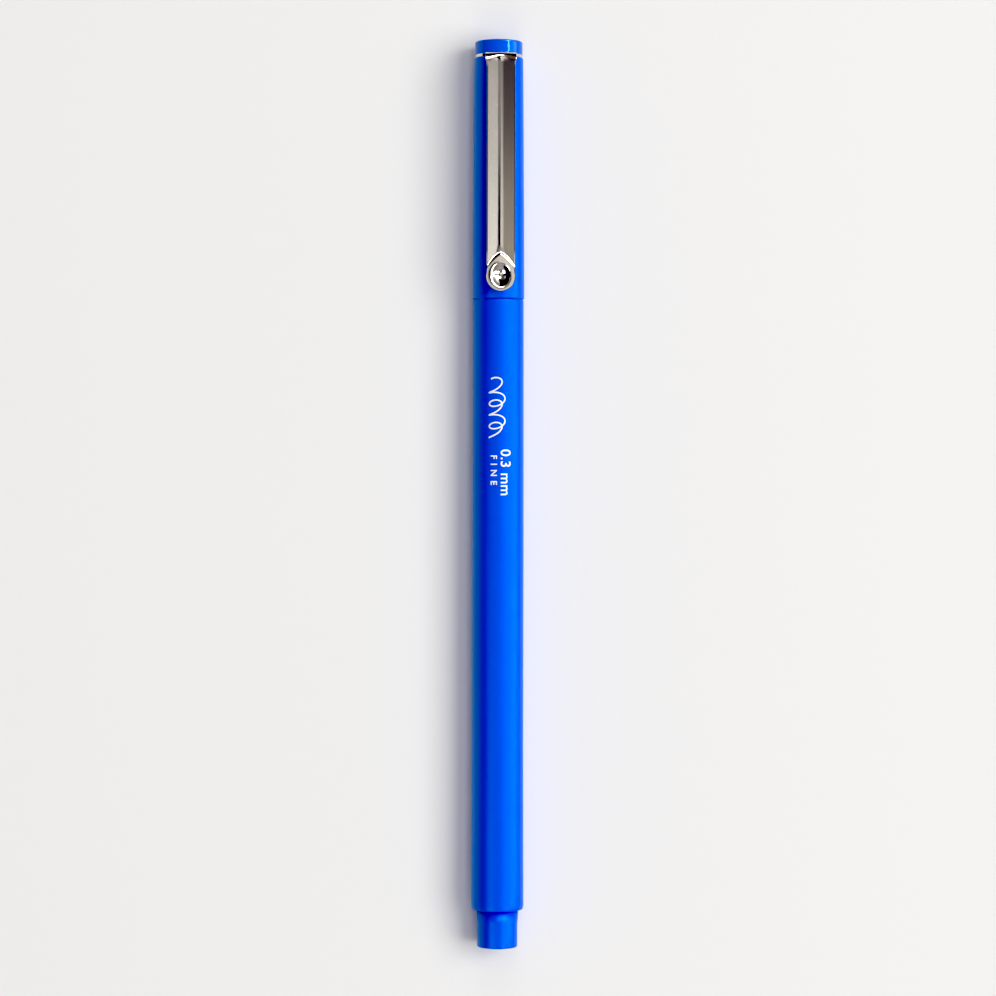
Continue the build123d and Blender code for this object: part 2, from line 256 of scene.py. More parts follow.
class Sheet:    # the node sheet of one material, or of the world
    def __init__(self, owner):
        owner.use_nodes = True
        self.tree = owner.node_tree
        self.tree.nodes.clear()

    def node(self, kind, settings=None, values=None):
        made = self.tree.nodes.new(kind)
        for name, value in (settings or {}).items():
            if name == "stops":
                ramp = made.color_ramp
                while len(ramp.elements) < len(value):
                    ramp.elements.new(0.5)
                for element, (place, shade) in zip(ramp.elements, value):
                    tint = shade if isinstance(shade, tuple) else (shade, shade, shade)
                    element.position = place
                    element.color = (*tint, 1.0)
            else:
                setattr(made, name, value)
        for name, value in (values or {}).items():
            socket = made.inputs[name]
            if isinstance(value, Wire):
                self.tree.links.new(value.socket, socket)
            elif isinstance(value, tuple) and len(value) == 3 and socket.type == "RGBA":
                socket.default_value = (*value, 1.0)
            else:
                socket.default_value = value
        return made

    def wire(self, kind, settings=None, values=None, out=0):
        return Wire(self, self.node(kind, settings, values).outputs[out])

    def calc(self, operation, *terms):
        return self.wire("ShaderNodeMath", {"operation": operation}, dict(enumerate(terms)))

    def clamp(self, term):
        return self.wire("ShaderNodeMath", {"operation": "ADD", "use_clamp": True}, {0: term, 1: 0.0})

    def smooth(self, term, low, high):      # 0 below low, 1 above high
        return self.wire("ShaderNodeMapRange", {"interpolation_type": "SMOOTHSTEP"}, {
            "Value": term, "From Min": low, "From Max": high,
        })

    def between(self, term, a, b, c, d):    # rises from a to b and falls from c to d
        return self.smooth(term, a, b) * (1 - self.smooth(term, c, d))

    def split(self, vector):
        parts = self.node("ShaderNodeSeparateXYZ", None, {"Vector": vector})
        return [Wire(self, output) for output in parts.outputs]

    def here(self):
        return self.wire("ShaderNodeTexCoord", out="Object")

    def noise(self, scale, detail=3.0, stretch=(1.0, 1.0, 1.0), rough=0.5):
        place = self.wire("ShaderNodeMapping", None, {"Vector": self.here(), "Scale": stretch})
        return self.wire("ShaderNodeTexNoise", None, {
            "Vector": place, "Scale": scale, "Detail": detail, "Roughness": rough,
        })

    def mix(self, share, first, second):
        return self.wire("ShaderNodeMix", {"data_type": "RGBA"}, {0: share, 6: first, 7: second}, out=2)

    def bump(self, height, strength, distance, under=None):
        values = {"Height": height, "Strength": strength, "Distance": distance}
        if under is not None:
            values["Normal"] = under
        return self.wire("ShaderNodeBump", None, values)


def finish(name, varied, fixed):
    material = bpy.data.materials.new(name)
    sheet = Sheet(material)
    values = dict(fixed)
    values.update(varied(sheet))
    shader = sheet.wire("ShaderNodeBsdfPrincipled", None, values)
    sheet.node("ShaderNodeOutputMaterial", None, {"Surface": shader})
    return material


def lightTheRoom(l):
    # glossy surfaces see the panels, everything else a dim room with one soft strip
    world = bpy.data.worlds.new("room")
    scene.world = world
    s = Sheet(world)
    east, north, up = s.split(s.wire("ShaderNodeTexCoord", out="Generated"))
    degrees = math.degrees(1)
    lean = s.calc("ARCTAN2", north, up) * degrees
    pitch = s.calc("ARCTAN2", east, up) * degrees
    along = east / s.calc("MAXIMUM", up, l["lowestUp"])

    def ramp(angle, stops):
        low, high = stops[0][0], stops[-1][0]
        placed = [((place - low) / (high - low), shade) for place, shade in stops]
        return s.wire("ShaderNodeValToRGB", {"stops": placed}, {"Fac": (angle - low) / (high - low)})

    def patch(first, second, name):
        return s.between(first, *l[name][:4]) * s.between(second, *l[name][4:])

    # the ceiling over the clip
    gap = s.between(lean, *l["gap"]) * s.smooth(along, *l["gapEnds"])
    bands = s.mix(gap, ramp(lean, l["ceiling"]), l["gapGrey"])
    bands = s.mix(s.smooth(along, *l["fades"]) * ramp(lean, l["fadeBy"]), bands, l["unlit"])

    # the rest of the panels
    shine = s.mix(ramp(pitch, l["shineAlong"]), l["unlit"], ramp(lean, l["shine"]))
    shine = s.mix(patch(lean, pitch, "corner"), shine, l["cornerLevel"])
    shine = s.mix(patch(lean, pitch, "behind"), shine, l["behindLevel"])
    straight = s.calc("ARCTAN2", north, s.calc("MAXIMUM", up, l["aheadUp"])) * degrees
    ahead = s.smooth(pitch, *l["aheadFrom"]) * s.between(straight, *l["aheadSides"])
    shine = s.mix(ahead, shine, ramp(pitch, l["ahead"]))
    for name in ("panelAhead", "panelBehind"):
        shine = s.mix(patch(lean, pitch, name), shine, l["panelLevel"])

    # what the crown shows
    glowEnds = s.between(east, *l["glowEnds"])
    pane = s.calc("MAXIMUM", s.between(lean, *l["pane"]) * glowEnds, patch(north, east, "paneBar"))
    mirrored = s.mix(s.between(along, *l["ceilingEnds"]), shine, bands)
    glowing = s.calc("MAXIMUM", glowEnds, patch(lean, east, "sideGlow"))
    mirrored = s.mix(glowing, mirrored, ramp(lean, l["glow"]))
    mirrored = s.mix(pane, mirrored, l["paneLevel"])

    lit = s.mix(s.smooth(s.calc("ABSOLUTE", lean), *l["overheadHalf"]), l["overhead"], l["room"])
    lit = s.mix(s.wire("ShaderNodeLightPath", out="Is Camera Ray"), lit, l["backdrop"])
    glossy = s.wire("ShaderNodeLightPath", out="Is Glossy Ray")
    back = s.wire("ShaderNodeBackground", None, {"Color": s.mix(glossy, lit, mirrored), "Strength": 1.0})
    s.node("ShaderNodeOutputWorld", None, {"Surface": back})


lightTheRoom(lightSet)
print("lights placed")


# ------ finishes ------
# Noise scales are per metre, and a stretch below 1 draws the pattern out that way.
def aroundMiddle(value, swing, share):     # value in the middle of a share that runs from 0 to 1
    return value - swing / 2 + share * swing


plasticSet = {
    "blue": (0.0, 0.05, 0.73),
    "deep": (0.0, 0.034, 0.66),
    "flow": 1.12,           # how much of the deeper blue the flow lines show
    "flowScale": 420.0,
    "cloud": 0.25,
    "cloudScale": 60.0,
    "less": 0.15,
    "roughness": 0.42,
    "rubbed": 0.1,
    "rubbedScale": 240.0,
    "glint": (0.0, 1.0, 1.0),
    "bloom": 0.4,
    "bloomTint": (0.0, 1.0, 1.0),
    "grain": 0.12,
    "grainScale": 5200.0,
    "lineScale": 2600.0,
    "lineDepth": 0.00003,
    "grainDepth": 0.00002,
}


def plasticSkin(name, p, smoother=0.0):
    def varied(s):
        flow = s.noise(p["flowScale"], 3.0, (0.035, 1.0, 1.0))
        cloud = s.noise(p["cloudScale"], 2.0)
        share = s.clamp(flow * p["flow"] + cloud * p["cloud"] - p["less"])
        fine = s.noise(p["grainScale"], 2.0)
        lines = s.noise(p["lineScale"], 2.0, (0.02, 1.0, 1.0))
        rubbed = s.noise(p["rubbedScale"], 4.0, (0.3, 1.0, 1.0), 0.65)
        under = s.bump(lines, p["grain"], p["lineDepth"])
        return {
            "Base Color": s.mix(share, p["blue"], p["deep"]),
            "Roughness": aroundMiddle(p["roughness"] - smoother, p["rubbed"], rubbed),
            "Normal": s.bump(fine, p["grain"], p["grainDepth"], under),
        }

    return finish(name, varied, {
        "Specular IOR Level": 1.0, "IOR": 1.5, "Specular Tint": p["glint"],
        "Sheen Weight": p["bloom"], "Sheen Roughness": 0.35, "Sheen Tint": p["bloomTint"],
    })


crownGlossSet = {
    "blue": (0.0, 0.12, 0.78),
    "deep": (0.0, 0.085, 0.7),
    "glint": (0.25, 1.0, 1.0),
    "roughness": 0.06,
    "wiped": 0.04,
    "wave": 0.01,
}


def crownSkin(c):
    def varied(s):
        wipe = s.noise(300.0, 4.0, (1.0, 1.0, 0.3), 0.6)
        return {
            "Base Color": s.mix(s.noise(90.0, 2.0), c["blue"], c["deep"]),
            "Roughness": c["roughness"] + wipe * c["wiped"],
            "Normal": s.bump(s.noise(160.0, 2.0), c["wave"], 0.00003),
        }

    return finish("crownGloss", varied, {
        "Specular IOR Level": 0.6, "IOR": 1.5, "Specular Tint": c["glint"],
    })


metalSet = {
    "nickel": (0.78, 0.745, 0.68),
    "dull": (0.58, 0.545, 0.48),
    "roughness": 0.045,
    "handled": 0.06,
    "drawn": 0.22,              # drawing lines along the strip
    "drawnDepth": 0.00002,
    "pits": (0.66, 0.76),
    "pitRough": 0.05,
    "pitted": 0.03,
    "pitDepth": 0.00001,
    "edgeShade": (0.12, 0.11, 0.09),              # painted shade: darker tone along the arm's long edges, standing in for their dark reflections and the shadow gap beside them
    "edgeShadeFrom": (1.97, 2.09),                # out from the middle
    "edgeShadeAlong": (armEndX + 5.4, armEndX + 6.4, collarFrontX - 2.6, collarFrontX - 1.8),
    "edgeShadeAbove": (axisZ + 4.2, axisZ + 4.4),
}


def nickelSkin(m):
    def inMetres(name):
        return [v * mm for v in m[name]]

    def varied(s):
        drawn = s.noise(2400.0, 3.0, (0.04, 1.0, 1.0), 0.6)
        handled = s.noise(190.0, 5.0, (0.5, 1.0, 1.0), 0.62)
        pits = s.smooth(s.noise(3600.0, 2.0), *m["pits"])
        tone = s.clamp(handled * 0.5 + drawn * 0.3 - 0.15 + pits * 0.5)
        x, y, z = s.split(s.here())
        # painted shade: the arm's long edges are darkened on the sheet's top, between the round end and the
        # bend
        edgeShaded = s.smooth(s.calc("ABSOLUTE", y), *inMetres("edgeShadeFrom"))
        edgeShaded = edgeShaded * s.between(x, *inMetres("edgeShadeAlong")) * s.smooth(z, *inMetres("edgeShadeAbove"))
        under = s.bump(drawn, m["drawn"], m["drawnDepth"])
        return {
            "Base Color": s.mix(edgeShaded, s.mix(tone, m["nickel"], m["dull"]), m["edgeShade"]),
            "Roughness": m["roughness"] + handled * m["handled"] + pits * m["pitRough"],
            "Normal": s.bump(pits, m["pitted"], m["pitDepth"], under),
        }

    return finish("nickelPlate", varied, {"Metallic": 1.0})


steelSet = {"bright": (0.64, 0.63, 0.6), "dull": (0.5, 0.49, 0.47), "roughness": 0.2, "turned": 0.1}


def steelSkin(t):
    def varied(s):
        rings = s.noise(3000.0, 2.0, (1.0, 0.08, 0.08))
        return {
            "Base Color": s.mix(s.noise(400.0, 3.0), t["bright"], t["dull"]),
            "Roughness": t["roughness"] + rings * 0.1,
            "Normal": s.bump(rings, t["turned"], 0.00002),
        }

    return finish("sleeveSteel", varied, {"Metallic": 1.0})


nibSet = {"wet": (0.006, 0.02, 0.2), "dry": (0.01, 0.05, 0.42), "roughness": 0.45, "channels": 0.2}


def nibSkin(n):
    def varied(s):
        stain = s.noise(1500.0, 4.0, (0.3, 1.0, 1.0), 0.6)
        return {
            "Base Color": s.mix(stain, n["wet"], n["dry"]),
            "Roughness": n["roughness"] + stain * 0.2,
            "Normal": s.bump(s.noise(4000.0, 2.0, (0.05, 1.0, 1.0)), n["channels"], 0.00002),
        }

    return finish("inkedNib", varied, {"Specular IOR Level": 0.4})


linerSet = {"milky": (0.72, 0.74, 0.77), "grey": (0.6, 0.63, 0.68), "roughness": 0.45}


def linerSkin(l):
    def varied(s):
        cloud = s.noise(500.0, 3.0)
        return {
            "Base Color": s.mix(cloud, l["milky"], l["grey"]),
            "Roughness": l["roughness"] + cloud * 0.1,
        }

    return finish("linerMilky", varied, {"Subsurface Weight": 0.15, "Subsurface Scale": 0.001})


printInkSet = {
    "thin": (0.55, 0.66, 0.95),
    "full": (0.88, 0.9, 0.92),
    "covers": (0.25, 0.4),
    "roughness": 0.4,
}


def inkSkin(i):
    def varied(s):
        speck = s.noise(5200.0, 3.0)
        return {
            "Base Color": s.mix(s.smooth(speck, *i["covers"]), i["thin"], i["full"]),
            "Roughness": i["roughness"] + speck * 0.1,
            "Normal": s.bump(speck, 0.15, 0.00001),
        }

    return finish("whitePrint", varied, {"Specular IOR Level": 0.4})


fibreSet = {"soaked": (0.01, 0.03, 0.22), "pale": (0.03, 0.09, 0.5), "roughness": 0.75, "strands": 0.5}


def fibreSkin(f):
    def varied(s):
        strands = s.noise(6000.0, 3.0, (0.02, 1.0, 1.0), 0.6)
        return {
            "Base Color": s.mix(strands, f["soaked"], f["pale"]),
            "Roughness": f["roughness"] + strands * 0.15,
            "Normal": s.bump(strands, f["strands"], 0.00004),
        }

    return finish("inkedFibre", varied, {})


filmSet = {"clear": (0.72, 0.76, 0.84), "milky": (0.86, 0.88, 0.92), "roughness": 0.15, "solid": 0.3}


def filmSkin(f):
    def varied(s):
        cloud = s.noise(700.0, 3.0)
        return {
            "Base Color": s.mix(cloud, f["clear"], f["milky"]),
            "Roughness": f["roughness"] + cloud * 0.1,
            "Alpha": f["solid"] + cloud * 0.2,
        }

    return finish("clearFilm", varied, {"IOR": 1.5})


barrelFinish = plasticSkin("barrelSatin", plasticSet)
capFinish = plasticSkin("capSatin", plasticSet, 0.03)
sectionFinish = plasticSkin("sectionSatin", plasticSet, 0.06)
tailFinish = plasticSkin("tailSatin", plasticSet)
crownFinish = crownSkin(crownGlossSet)
clipFinish = nickelSkin(metalSet)
sleeveFinish = steelSkin(steelSet)
nibFinish = nibSkin(nibSet)
linerFinish = linerSkin(linerSet)
printFinish = inkSkin(printInkSet)
fibreFinish = fibreSkin(fibreSet)
filmFinish = filmSkin(filmSet)
print("finishes made")


# ------ turned pieces ------
def makePiece(name, bm, material, smoothSides=True):
    mesh = bpy.data.meshes.new(name)
    for face in bm.faces:
        face.smooth = smoothSides
    bm.to_mesh(mesh)
    bm.free()
    mesh.materials.append(material)
    piece = bpy.data.objects.new(name, mesh)
    scene.collection.objects.link(piece)
    return piece


tiny = 1e-4     # millimetres; two points nearer than this are one


def ringEdges(bm, x, radius):
    def onRing(v):
        return abs(v.co.x - x) < tiny and abs(v.co.yz.length - radius) < tiny

    return [edge for edge in bm.edges if all(onRing(v) for v in edge.verts)]


def ontoAxis(bm):       # from millimetres round the origin to metres round the pen's axis
    bmesh.ops.scale(bm, vec=(mm, mm, mm), verts=bm.verts)
    bmesh.ops.translate(bm, vec=(0, 0, axisZ * mm), verts=bm.verts)


def turned(name, outline, material, closed=True, steps=128):
    # outline: place along the pen, radius and rounding of each corner, in millimetres
    bm = bmesh.new()
    dots = [bm.verts.new((x, 0, r)) for x, r, rounding in outline]
    pairs = list(zip(dots, dots[1:]))
    if closed:
        pairs.append((dots[-1], dots[0]))
    lines = [bm.edges.new(pair) for pair in pairs if pair[0].co.z > 0 or pair[1].co.z > 0]
    bmesh.ops.spin(bm, geom=dots + lines, cent=(0, 0, 0), axis=(1, 0, 0), angle=math.tau,
                   steps=steps, use_merge=True)
    bmesh.ops.remove_doubles(bm, verts=bm.verts, dist=tiny)
    bmesh.ops.recalc_face_normals(bm, faces=bm.faces)
    for x, r, rounding in outline:
        if rounding:
            bmesh.ops.bevel(bm, geom=ringEdges(bm, x, r), offset=rounding, offset_type="OFFSET",
                            affect="EDGES", segments=5, profile=0.5, material=-1)
    ontoAxis(bm)
    piece = makePiece(name, bm, material)
    weighted = piece.modifiers.new("even shading", "WEIGHTED_NORMAL")
    weighted.weight = 60
    return piece


def bow(start, end, middleOut, count):
    # points of a gently bowed line from start to end
    points = []
    for i in range(count + 1):
        t = i / count
        x = start[0] + (end[0] - start[0]) * t
        r = start[1] + (end[1] - start[1]) * t + 4 * t * (1 - t) * middleOut
        points.append((x, r, 0))
    return points


barrelSet = {
    "frontRadius": 3.96,
    "landRadius": 4.02,
    "rearRadius": 4.10,
    "landRear": 26.9,           # from the barrel's rear end
    "landLength": 30.0,
    "chamfer": (0.6, 0.12),
    "frontRound": 0.3,
    "rearRound": 0.14,
    "lip": 3.0,                 # the bore at its two ends
    "rearStep": 0.03,
    "bore": 2.9,
    "lipDepth": 6.0,
}


def buildBarrel(b):
    landRear = barrelRearX + b["landRear"]
    landFront = landRear + b["landLength"]
    rearBore = barrelRearX + b["lipDepth"]
    frontBore = jointX - b["lipDepth"]
    rearLip = b["lip"] + b["rearStep"]
    outline = [
        (jointX, b["lip"], 0.12),
        (jointX, b["frontRadius"], b["frontRound"]),
        (landFront, b["landRadius"], 0),
        (landRear, b["landRadius"], 0),
        (barrelRearX + b["chamfer"][0], b["rearRadius"], 0.3),
        (barrelRearX, b["rearRadius"] - b["chamfer"][1], b["rearRound"]),
        (barrelRearX, rearLip, 0),
        (rearBore, rearLip, 0),
        (rearBore, b["bore"], 0),
        (frontBore, b["bore"], 0),
        (frontBore, b["lip"], 0),
    ]
    piece = turned("barrelSkin", outline, barrelFinish)
    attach(piece, "pen")
    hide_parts("barrel")


tailSet = {
    "baseRadius": 3.3,
    "radius": 3.15,
    "taper": 2.4,
    "inside": 5.0,
    "spigot": 2.95,
    "endRound": 0.25,
    "dishRadius": 2.35,         # shallow dish in the end face
    "dishDepth": 0.12,
    "gateRadius": 0.42,         # mark left by the mould's gate
    "gateDepth": 0.07,
}


def buildTail(t):
    dish = tailX + t["dishDepth"]
    outline = [
        (barrelRearX + t["inside"], t["spigot"], 0),
        (barrelRearX + 0.02, t["spigot"], 0),
        (barrelRearX - 0.02, t["baseRadius"], 0),
        (barrelRearX - t["taper"], t["radius"], 0.4),
        (tailX, t["radius"], t["endRound"]),
        (tailX, t["dishRadius"], 0.08),
        (dish, t["dishRadius"] - 0.12, 0.05),
        (dish, t["gateRadius"], 0),
        (dish - t["gateDepth"], t["gateRadius"] - 0.06, 0.02),
        (dish - t["gateDepth"], 0.0, 0),
    ]
    piece = turned("tailPost", outline, tailFinish, closed=False)
    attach(piece, "pen")
    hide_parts("tail_plug")


capSet = {
    "mouthRadius": 4.06,
    "topRadius": 3.83,
    "bowOut": 0.02,
    "bore": 3.27,
    "linerBore": 3.05,
    "linerStep": 16.0,
    "roof": 0.85,
    "roofHole": 1.5,
    "clickRadius": 3.22,
    "clickFrom": 0.6,
    "clickTo": 1.3,
    "lead": 0.35,
    "mouthRound": 0.2,
    "topRound": 0.14,
}


def buildCap(c):
    outline = bow((jointX, c["mouthRadius"]), (capTopX, c["topRadius"]), c["bowOut"], 24)
    outline[0] = (jointX, c["mouthRadius"], c["mouthRound"])
    outline[-1] = (capTopX, c["topRadius"], c["topRound"])
    clickMiddle = (c["clickFrom"] + c["clickTo"]) / 2
    outline += [
        (capTopX, c["roofHole"], 0),
        (capTopX - c["roof"], c["roofHole"], 0),
        (capTopX - c["roof"], c["linerBore"], 0),
        (jointX + c["linerStep"] + 0.6, c["linerBore"], 0.15),
        (jointX + c["linerStep"], c["bore"], 0.15),
        (jointX + c["clickTo"], c["bore"], 0.1),
        (jointX + clickMiddle + 0.1, c["clickRadius"], 0.08),
        (jointX + clickMiddle - 0.1, c["clickRadius"], 0.08),
        (jointX + c["clickFrom"], c["bore"], 0.1),
        (jointX + c["lead"], c["bore"], 0.1),
        (jointX, c["bore"] + c["lead"] / 2, 0.06),
    ]
    piece = turned("capTube", outline, capFinish)
    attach(piece, "cap")
    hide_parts("cap_tube")


crownSet = {
    "radius": 3.72,
    "dome": 0.06,
    "edgeRound": 0.25,
    "footRound": 0.1,
    "flatFrom": 0.15,           # the straight part of its side
    "flatTo": 0.34,
}


def buildCrown(c):
    outline = [
        (collarFrontX - 0.2, 1.4, 0),
        (collarFrontX + 0.01, 1.5, 0),
        (collarFrontX + 0.01, c["radius"], c["footRound"]),
        (collarFrontX + c["flatFrom"], c["radius"], 0),
        (crownTopX - c["flatTo"], c["radius"], 0),
        (crownTopX - c["dome"], c["radius"], c["edgeRound"]),
        (crownTopX - c["dome"] * 0.45, c["radius"] * 0.7, 0),
        (crownTopX - c["dome"] * 0.12, c["radius"] * 0.35, 0),
        (crownTopX, 0.0, 0),
    ]
    piece = turned("crownCap", outline, crownFinish, closed=False)
    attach(piece, "cap")
    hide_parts("crown")


sectionSet = {
    "inside": 5.0,              # how far its spigot goes into the barrel
    "spigot": 2.96,
    "neck": 3.14,
    "bead": 3.2,
    "beadAt": 1.75,
    "beadHalf": 0.6,
    "gripLength": 18.55,
    "gripFront": 3.0,
    "gripHollow": 0.05,
    "step": 0.5,
    "land": 2.42,
    "landLength": 3.5,
    "coneLength": 5.2,
    "nose": 1.15,
    "noseBore": 0.7,
}


def buildSection(g):
    beadX = jointX + g["beadAt"]
    stepX = jointX + g["gripLength"]
    landX = stepX + g["step"]
    coneX = landX + g["landLength"]
    noseX = coneX + g["coneLength"]
    gripFrom = beadX + g["beadHalf"] + 1.2
    grip = bow((gripFrom, g["neck"]), (stepX, g["gripFront"]), -g["gripHollow"], 12)
    grip[-1] = (stepX, g["gripFront"], 0.22)
    outline = [
        (jointX - g["inside"], g["spigot"], 0),
        (jointX - 0.02, g["spigot"], 0),
        (jointX + 0.01, g["neck"], 0),
        (beadX - g["beadHalf"], g["neck"], 0.15),
        (beadX - 0.2, g["bead"], 0.15),
        (beadX + 0.2, g["bead"], 0.15),
        (beadX + g["beadHalf"], g["neck"], 0.15),
        *grip,
        (landX, g["land"], 0.08),
        (coneX, g["land"], 0.25),
        (noseX, g["nose"], 0.2),
        (noseX, g["noseBore"], 0.05),
        (noseX - 1.0, g["noseBore"], 0),
    ]
    piece = turned("gripSection", outline, sectionFinish, closed=False)
    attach(piece, "pen")
    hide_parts("front_section")
    return noseX


pointSet = {
    "sleeve": 0.75,
    "sleeveBore": 0.36,
    "mouth": 0.52,
    "taper": 1.5,
    "crimpAt": 0.7,
    "crimpDepth": 0.07,
    "crimpHalf": 0.25,
    "nibNeck": 0.34,
    "nibTip": 0.17,
}


def buildPoint(p, noseX):
    crimpX = noseX + p["crimpAt"]
    sleeve = [
        (noseX - 4.0, p["sleeve"], 0),
        (crimpX - p["crimpHalf"], p["sleeve"], 0.08),
        (crimpX, p["sleeve"] - p["crimpDepth"], 0.1),
        (crimpX + p["crimpHalf"], p["sleeve"], 0.08),
        (sleeveFrontX - p["taper"], p["sleeve"], 0.3),
        (sleeveFrontX, p["mouth"], 0.07),
        (sleeveFrontX, p["sleeveBore"], 0.03),
        (sleeveFrontX - 1.0, p["sleeveBore"], 0),
    ]
    tube = turned("nibTube", sleeve, sleeveFinish, closed=False, steps=64)
    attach(tube, "pen")
    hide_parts("nib_sleeve")
    rod = [
        (sleeveFrontX - 1.2, p["nibNeck"] - 0.01, 0),
        (sleeveFrontX + 0.1, p["nibNeck"] - 0.01, 0.1),
        (nibTipX - 0.28, p["nibTip"] + 0.03, 0.08),
        (nibTipX, p["nibTip"], 0.1),
        (nibTipX, 0.0, 0),
    ]
    nib = turned("nibRod", rod, nibFinish, closed=False, steps=48)
    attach(nib, "pen")
    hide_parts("nib")


buildBarrel(barrelSet)
buildTail(tailSet)
buildCap(capSet)
buildCrown(crownSet)
buildPoint(pointSet, buildSection(sectionSet))
print("turned pieces made")


# ------ clip ------
clipSet = {
    "sheet": 0.5,
    "halfWidth": 2.15,
    "headHalf": 2.38,           # the wider bend
    "headFrom": 0.6,            # from the bend's start, where the arm has narrowed
    "headTo": 0.0,
    "bendRadius": 1.25,
    "tabFoot": 2.75,            # how far down the tab reaches, above the pen's axis
    "fold": 0.42,               # depth of the V
    "foldSoft": 0.4,            # how soft its crease is
    "foldEnds": 58.0,           # how far round the bend it carries on, in degrees
    "discRadius": 2.26,
    "archReach": 3.55,          # disc's centre to the point where the crease splits
    "archWidth": 2.0,
    "archSoft": 0.2,
    "archLong": 1.9,
    "archMost": 1.4,            # of its length, where its legs stop spreading
    "archBow": 0.7,             # power of the curve of its legs
    "wedge": 1.7,               # where the crease opens up before the arch
    "wedgeSoft": 0.22,
    "dimpleAside": 0.2,         # towards the bend
    "dimpleLong": 1.76,
    "dimpleHalf": 1.48,
    "dimpleDepth": 0.79,
    "dimpleBow": 2.1,
    "dimpleLip": 0.07,
    "edgeRound": 0.09,
    "collarOut": 3.76,
    "collarIn": 1.52,
    "rows": 170,                # of the grid along the arm; endRows make its round end
    "columns": 36,
    "endRows": 34,
    "endCorner": 52.0,          # degrees from the arm's middle line
    "neckSoft": 0.02,           # where the round end meets the arm's straight edges
    "neckReach": 1.6,
    "spread": (0.34, 0.66),     # rows evenly spaced, and rows crowded towards the dimple
    "bendRows": 14,
}


def softStep(t):
    t = min(max(t, 0.0), 1.0)
    return t * t * (3 - 2 * t)


def softMax(a, b, soft):
    return (a + b + math.sqrt((a - b) ** 2 + soft * soft)) / 2


def clipDrop(c, x, y, discX):
    # how far the sheet's outer face lies below its flat top at one point
    toArch = x - discX - c["archReach"]
    soft = c["foldSoft"] + c["wedgeSoft"] * softStep(1 - toArch / c["wedge"]) ** 2
    fromAxis = math.sqrt(y * y + soft ** 2) - soft * 0.5
    fold = c["fold"] * max(0.0, 1 - fromAxis / c["halfWidth"])
    reach = -toArch / c["archLong"]
    archEdge = c["archWidth"] * min(reach, c["archMost"]) ** c["archBow"] if reach > 0 else reach * 1.5
    fold *= softStep((abs(y) - archEdge) / c["archSoft"] * 0.5 + 0.5)
    around = math.hypot((x - discX - c["dimpleAside"]) / c["dimpleLong"], y / c["dimpleHalf"])
    bowl = c["dimpleDepth"] * (1 - around ** c["dimpleBow"])
    bowl = softMax(0.0, bowl, c["dimpleLip"] * 2) - c["dimpleLip"] * 0.05
    return max(fold, 0.0) + max(bowl, 0.0)


def armGrid(c, discX, bendX):
    # a flat grid, drawn out into the arm's outline: u runs from the round end to the bend
    bm = bmesh.new()
    along, endRows = c["rows"], c["endRows"]
    bmesh.ops.create_grid(bm, x_segments=along, y_segments=c["columns"], size=0.5)
    even, crowded = c["spread"]
    corner = math.radians(c["endCorner"])
    radius = c["discRadius"]

    def halfWidth(x):
        near = math.sqrt(max(radius ** 2 - (x - discX) ** 2, 0.0))
        half = softMax(c["halfWidth"], near, c["neckSoft"]) if x - discX < c["neckReach"] else c["halfWidth"]
        widen = softStep((x - (bendX - c["headFrom"])) / (c["headFrom"] - c["headTo"]))
        return half + (c["headHalf"] - c["halfWidth"]) * widen

    def ring(angle):
        return Vector((discX - radius * math.cos(angle), radius * math.sin(angle)))

    for v in bm.verts:
        row = round((v.co.x + 0.5) * along)
        side = v.co.y * 2
        if row <= endRows:
            s = 1 - row / endRows
            t = (side + 1) / 2
            flat = Vector((discX, side * halfWidth(discX)))
            nose = ring(side * corner)
            lowSide = ring(-math.pi / 2 + s * (math.pi / 2 - corner))
            highSide = ring(math.pi / 2 - s * (math.pi / 2 - corner))
            # a patch between four curved sides
            lowFlat, highFlat = Vector((discX, -halfWidth(discX))), Vector((discX, halfWidth(discX)))
            lowNose, highNose = ring(-corner), ring(corner)
            place = flat * (1 - s) + nose * s + lowSide * (1 - t) + highSide * t
            place -= (lowFlat * (1 - t) + highFlat * t) * (1 - s) + (lowNose * (1 - t) + highNose * t) * s
        else:
            t = (row - endRows) / (along - endRows)
            x = discX + (bendX - discX) * (even * t + crowded * t ** 2.0) if t < 1 else bendX
            place = Vector((x, side * halfWidth(x)))
        v.co.x, v.co.y = place
    return bm


